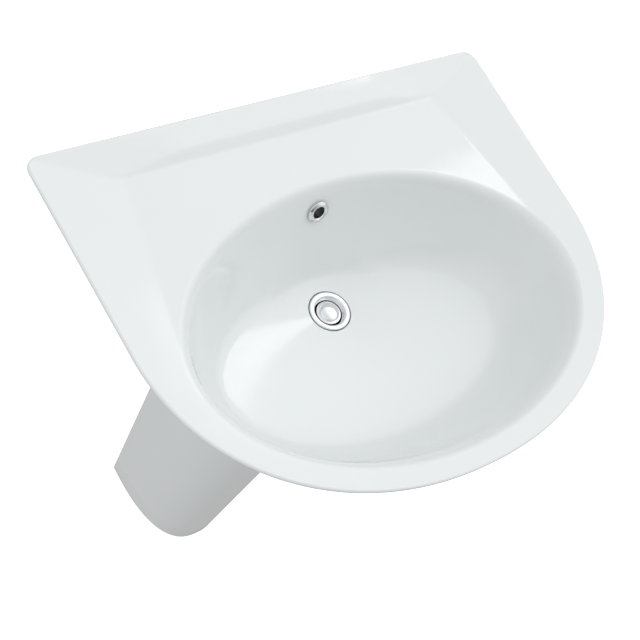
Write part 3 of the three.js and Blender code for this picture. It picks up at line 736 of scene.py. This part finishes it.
def floor_screw(place):
    top = -RIM + 16
    crown = [(6.4 * cos(t), top + 2.8 + 4 * sin(t)) for t in np.radians(np.linspace(10, 84, 9))]
    made = turned("floor_fixing_screw", [
        (0, -RIM + 0.3), (3, -RIM + 0.3), (3, top + 2.2), (6.4, top + 2.2), (6.4, top + 2.8), *crown,
        (0, top + 6.8)], 48, place)
    slots = [prism("slot", outline, top + 4.8, top + 9, place)
             for outline in ([(-3, -0.6), (3, -0.6), (3, 0.6), (-3, 0.6)],
                             [(-0.6, -3), (0.6, -3), (0.6, 3), (-0.6, 3)])]
    combine(made, slots, "DIFFERENCE")
    return smooth(made)


# ------------------------------------------------------------------ materials
class Nodes:
    """A new material's nodes, made and linked in few words."""

    def __init__(self, name):
        self.material = bpy.data.materials.new(name)
        self.material.use_nodes = True
        self.tree = self.material.node_tree
        self.shader = self.tree.nodes["Principled BSDF"]
        self.place = self.add("ShaderNodeTexCoord").outputs["Object"]

    def add(self, kind, **settings):
        node = self.tree.nodes.new(kind)
        for name, value in settings.items():
            setattr(node, name, value)
        return node

    def link(self, source, target):
        self.tree.links.new(source, target)

    def set(self, **values):
        for name, value in values.items():
            self.shader.inputs[name.replace("_", " ")].default_value = value

    def noise(self, scale, detail=2.0, roughness=0.5, stretch=None):
        """A noise pattern; scale is features per metre."""
        node = self.add("ShaderNodeTexNoise")
        node.inputs["Scale"].default_value = scale
        node.inputs["Detail"].default_value = detail
        node.inputs["Roughness"].default_value = roughness
        source = self.place
        if stretch:
            mapping = self.add("ShaderNodeMapping")
            mapping.inputs["Scale"].default_value = stretch
            self.link(self.place, mapping.inputs["Vector"])
            source = mapping.outputs["Vector"]
        self.link(source, node.inputs["Vector"])
        return node.outputs["Fac"]

    def spread(self, source, low, high, start=0.0, end=1.0):
        """Maps start..end to low..high."""
        node = self.add("ShaderNodeMapRange")
        for name, value in (("From Min", start), ("From Max", end), ("To Min", low), ("To Max", high)):
            node.inputs[name].default_value = value
        self.link(source, node.inputs["Value"])
        return node.outputs["Result"]

    def mix(self, factor, one, two):
        """A colour between two colours, either of which may be a socket."""
        node = self.add("ShaderNodeMix", data_type="RGBA")
        self.link(factor, node.inputs["Factor"])
        for socket, value in zip((node.inputs[6], node.inputs[7]), (one, two)):
            if isinstance(value, tuple):
                socket.default_value = (*value, 1)
            else:
                self.link(value, socket)
        return node.outputs[2]

    def bump(self, source, depth, before=None):
        """Raises the surface by depth metres where the source is 1."""
        node = self.add("ShaderNodeBump")
        node.inputs["Distance"].default_value = depth
        self.link(source, node.inputs["Height"])
        if before:
            self.link(before, node.inputs["Normal"])
        return node.outputs["Normal"]

    def finish(self, color=None, roughness=None, normal=None):
        for name, source in (("Base Color", color), ("Roughness", roughness), ("Normal", normal)):
            if source:
                self.link(source, self.shader.inputs[name])
        return self.material


def china_material():
    """White glaze: faint clouding, a soft ripple in the surface, and pinholes."""
    n = Nodes("glazed china")
    n.set(Coat_Weight=0.25, Coat_Roughness=0.02, IOR=1.52)
    clouds = n.noise(5, 3)
    color = n.mix(clouds, (0.80, 0.83, 0.825), (0.83, 0.855, 0.85))
    roughness = n.spread(n.noise(14, 3), 0.05, 0.11)
    ripple = n.bump(n.noise(30, 1), 0.00012)
    normal = n.bump(n.noise(260, 2), 0.000008, ripple)
    return n.finish(color, roughness, normal)


def chrome_material():
    n = Nodes("polished chrome")
    n.set(Metallic=1.0)
    color = n.mix(n.noise(60, 3), (0.74, 0.75, 0.76), (0.82, 0.83, 0.84))
    roughness = n.spread(n.noise(90, 4), 0.03, 0.09)
    return n.finish(color, roughness, n.bump(n.noise(400, 2), 0.000004))


def brass_material():
    n = Nodes("machined brass")
    n.set(Metallic=1.0)
    color = n.mix(n.noise(80, 4), (0.55, 0.38, 0.14), (0.75, 0.55, 0.25))
    lines = n.noise(120, 3, stretch=(1, 1, 40))
    return n.finish(color, n.spread(lines, 0.22, 0.42), n.bump(lines, 0.00002))


def steel_material():
    n = Nodes("zinc plated steel")
    n.set(Metallic=1.0)
    color = n.mix(n.noise(150, 4), (0.42, 0.43, 0.44), (0.62, 0.63, 0.64))
    grain = n.noise(900, 3)
    return n.finish(color, n.spread(grain, 0.25, 0.45), n.bump(grain, 0.00001))


def rubber_material():
    n = Nodes("black rubber")
    color = n.mix(n.noise(200, 4), (0.012, 0.012, 0.013), (0.03, 0.03, 0.031))
    return n.finish(color, n.spread(n.noise(500, 3), 0.6, 0.85), n.bump(n.noise(1500, 2), 0.00003))


def plastic_material(name, dark, light, rough):
    """Moulded plastic with a fine spark-eroded grain."""
    n = Nodes(name)
    color = n.mix(n.noise(25, 3), dark, light)
    grain = n.noise(1800, 2)
    return n.finish(color, n.spread(grain, rough, rough + 0.14), n.bump(grain, 0.00002))


MATERIALS = {
    "china": china_material(),
    "chrome": chrome_material(),
    "brass": brass_material(),
    "steel": steel_material(),
    "rubber": rubber_material(),
    "white_plastic": plastic_material("white moulded plastic", (0.76, 0.76, 0.74), (0.82, 0.82, 0.80), 0.22),
    "nylon": plastic_material("natural nylon", (0.58, 0.56, 0.50), (0.68, 0.66, 0.60), 0.38),
}
SLOTS = {row["node"]: row["material_slot"] for row in frame["record"]["subparts"]}
BODY_OF = {node: body for body, nodes in frame["record"]["behaviour"]["bodies"].items() for node in nodes}


def stand_in(made, node):
    """Makes a piece stand for a CAD node, with that node's body, slot and finish."""
    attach(made, BODY_OF[node])
    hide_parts(node)
    made.data.materials.clear()
    made.data.materials.append(MATERIALS[SLOTS[node]])
    return made


# ------------------------------------------------------------------ the pieces
stand_in(basin(), "basin")
stand_in(pedestal(), "pedestal")
stand_in(smooth(overflow_ring(), 50), "overflow_ring")
stand_in(waste_body(), "waste_body")
stand_in(plug_cap(), "plug_cap")
stand_in(plug_seal(), "plug_seal")
stand_in(plug_stem(), "plug_stem")
stand_in(click_cartridge(), "click_cartridge")
stand_in(coil("plug_coil", 3.9, 0.45, -181, -170.4, 3, AT_DRAIN), "plug_spring")
stand_in(smooth(waste_top_seal()), "waste_top_seal")
stand_in(smooth(waste_lower_seal()), "waste_lower_seal")
stand_in(smooth(ring("waste_slip_washer", 21.3, 33, -183.3, -181.3, AT_DRAIN)), "waste_washer")
stand_in(hex_nut("waste_hex_nut", 54, 21.3, -194, -183.6, AT_DRAIN), "waste_backnut")
stand_in(smooth(ring("inlet_gasket", 16, 20.6, -206.6, -205.3, AT_DRAIN)), "inlet_seal")
stand_in(smooth(inlet_tube()), "inlet_tube")
stand_in(smooth(inlet_nut()), "inlet_nut")
stand_in(smooth(neck_nut()), "neck_nut")
stand_in(smooth(neck_seal()), "neck_seal")
stand_in(trap_body(), "trap_body")
stand_in(trap_cup(), "trap_cup")
stand_in(smooth(ring("cup_gasket", 26, 30.2, -349.4, -345.3, AT_DRAIN)), "trap_cup_seal")
stand_in(smooth(ring("outlet_tube", 14.6, 16, 30, -DRAIN_Y - 0.3, AT_OUTLET, "y")), "outlet_pipe")
stand_in(smooth(ring("outlet_gasket", 16.3, 19.8, 52.3, 55.6, AT_OUTLET, "y")), "outlet_seal")
stand_in(smooth(outlet_nut()), "outlet_nut")
stand_in(smooth(wall_rosette(), 50), "wall_rosette")
for side, sign in (("left", -1), ("right", 1)):
    at_stud = AT_RIM + Vector((sign * STUD_X, 0, STUD_Z))
    fixings = {"wall_stud": wall_stud(at_stud), "wall_sleeve": smooth(wall_sleeve(at_stud)),
               "wall_washer": smooth(ring("washer", 5.3, 12.5, 17.3, 19.3, at_stud, "-y")),
               "wall_nut": hex_nut("nut", 17, 5.2, 19.6, 27.6, at_stud, "-y")}
    at_screw = AT_RIM + Vector((sign * FLOOR_SCREW_X, FLOOR_SCREW_Y, 0))
    fixings["floor_screw"] = floor_screw(at_screw)
    fixings["floor_washer"] = smooth(ring("floor_ring", 3.4, 8, -RIM + 16.3, -RIM + 17.9, at_screw))
    for node, made in fixings.items():
        made.name = f"{node}_{side}_fine"
        stand_in(made, f"{node}_{side}")
for place, (x, y) in {"front": (0, -286), "left": (-86, -180), "right": (86, -180)}.items():
    level = min(PEDESTAL_TOP, float(underside_height(np.array(x), np.array(y))) - PEDESTAL_GAP)
    pad = rod(f"bearing_disc_{place}", 3.6, 1, 4, 48, AT_RIM + Vector((x, y, level)))
    apply(pad, "BEVEL", width=0.4 * MM, segments=3, limit_method="ANGLE", angle_limit=radians(40))
    stand_in(smooth(pad), f"bearing_pad_{place}")


# ------------------------------------------------------------------ the studio
class Dome:
    """The studio's light as a dome of soft glows, added up in the world's background."""

    def __init__(self, color, strength):
        world = bpy.data.worlds.new("studio")
        world.use_nodes = True
        bpy.context.scene.world = world
        self.tree = world.node_tree
        self.background = self.tree.nodes["Background"]
        self.toward = self.add("ShaderNodeTexCoord").outputs["Generated"]
        self.light = None
        self.glow(color, strength, (0, 0, 1), (180, 179))

    def add(self, kind, **settings):
        node = self.tree.nodes.new(kind)
        for name, value in settings.items():
            setattr(node, name, value)
        return node

    def along(self, axis):
        """How far the looked-at direction goes along an axis."""
        node = self.add("ShaderNodeVectorMath", operation="DOT_PRODUCT")
        node.inputs[1].default_value = axis
        self.tree.links.new(self.toward, node.inputs[0])
        return node.outputs["Value"]

    def fade(self, source, start, end):
        node = self.add("ShaderNodeMapRange", interpolation_type="SMOOTHSTEP")
        node.inputs["From Min"].default_value = start
        node.inputs["From Max"].default_value = end
        self.tree.links.new(source, node.inputs["Value"])
        return node.outputs["Result"]

    def shine(self, amount, color, strength):
        """Adds a colour, as strong as an amount socket says, to the light so far."""
        node = self.add("ShaderNodeVectorMath", operation="MULTIPLY_ADD")
        self.tree.links.new(amount, node.inputs[0])
        node.inputs[1].default_value = [c * strength for c in color]
        node.inputs[2].default_value = (0, 0, 0)
        if self.light:
            self.tree.links.new(self.light, node.inputs[2])
        self.light = node.outputs["Vector"]
        self.tree.links.new(self.light, self.background.inputs["Color"])

    def glow(self, color, strength, toward, angles):
        """A round glow: none beyond the first angle from its direction, full within the second."""
        start, end = (cos(radians(angle)) for angle in angles)
        self.shine(self.fade(self.along(Vector(toward).normalized()), start, end), color, strength)

    def softbox(self, color, strength, azimuth, elevation, width, height, tilt=0, edge=0.25):
        """An oblong glow with a soft edge, its size in degrees."""
        azimuth, elevation, tilt = radians(azimuth), radians(elevation), radians(tilt)
        centre = Vector((cos(azimuth) * cos(elevation), sin(azimuth) * cos(elevation), sin(elevation)))
        level = Vector((-sin(azimuth), cos(azimuth), 0))
        upward = centre.cross(level)
        across = level * cos(tilt) + upward * sin(tilt)
        upright = upward * cos(tilt) - level * sin(tilt)
        amount = self.fade(self.along(centre), 0.5, 0.6)
        for axis, size in ((across, width), (upright, height)):
            node = self.add("ShaderNodeMath", operation="ABSOLUTE")
            self.tree.links.new(self.along(axis), node.inputs[0])
            half = sin(radians(size / 2))
            window = self.fade(node.outputs[0], half * (1 + edge), half * (1 - edge))
            both = self.add("ShaderNodeMath", operation="MULTIPLY")
            self.tree.links.new(amount, both.inputs[0])
            self.tree.links.new(window, both.inputs[1])
            amount = both.outputs[0]
        self.shine(amount, color, strength)


def camera_only(stage):
    """Keeps a stage piece from shading the object; it is there to be seen behind it."""
    stage.visible_diffuse = False
    stage.visible_glossy = False
    stage.visible_transmission = False
    stage.visible_shadow = False


def studio():
    """A white room: light from all round, most of it from above and from the right."""
    bpy.context.scene.view_settings.view_transform = "Standard"
    neutral, cool = (1, 1, 1), (0.97, 0.985, 1.02)
    dome = Dome(neutral, 0.19)
    dome.glow(cool, 0.70, (0, 0, 1), (84, 0))
    dome.glow(neutral, 0.25, (0, 0, -1), (90, 53))
    dome.glow(neutral, 0.80, (1, 0, 0.2), (78, 26))
    dome.glow(neutral, 0.44, (-1, 0, 0.1), (78, 26))
    dome.glow(neutral, 0.12, (0, 1, 0.2), (78, 26))
    dome.softbox(cool, 2.0, 26, 42, 3.6, 14, -30)

    n = Nodes("studio floor")
    color = n.mix(n.noise(2, 2), (0.90, 0.90, 0.90), (0.93, 0.93, 0.93))
    n.shader.inputs["Emission Color"].default_value = (1, 1, 1, 1)
    n.set(Emission_Strength=0.6)
    bpy.ops.mesh.primitive_plane_add(size=40, location=(0, 0, 0))
    floor = bpy.context.object
    floor.name = "studio_floor"
    floor.data.materials.append(n.finish(color, n.spread(n.noise(6, 2), 0.7, 0.9)))
    camera_only(floor)


studio()
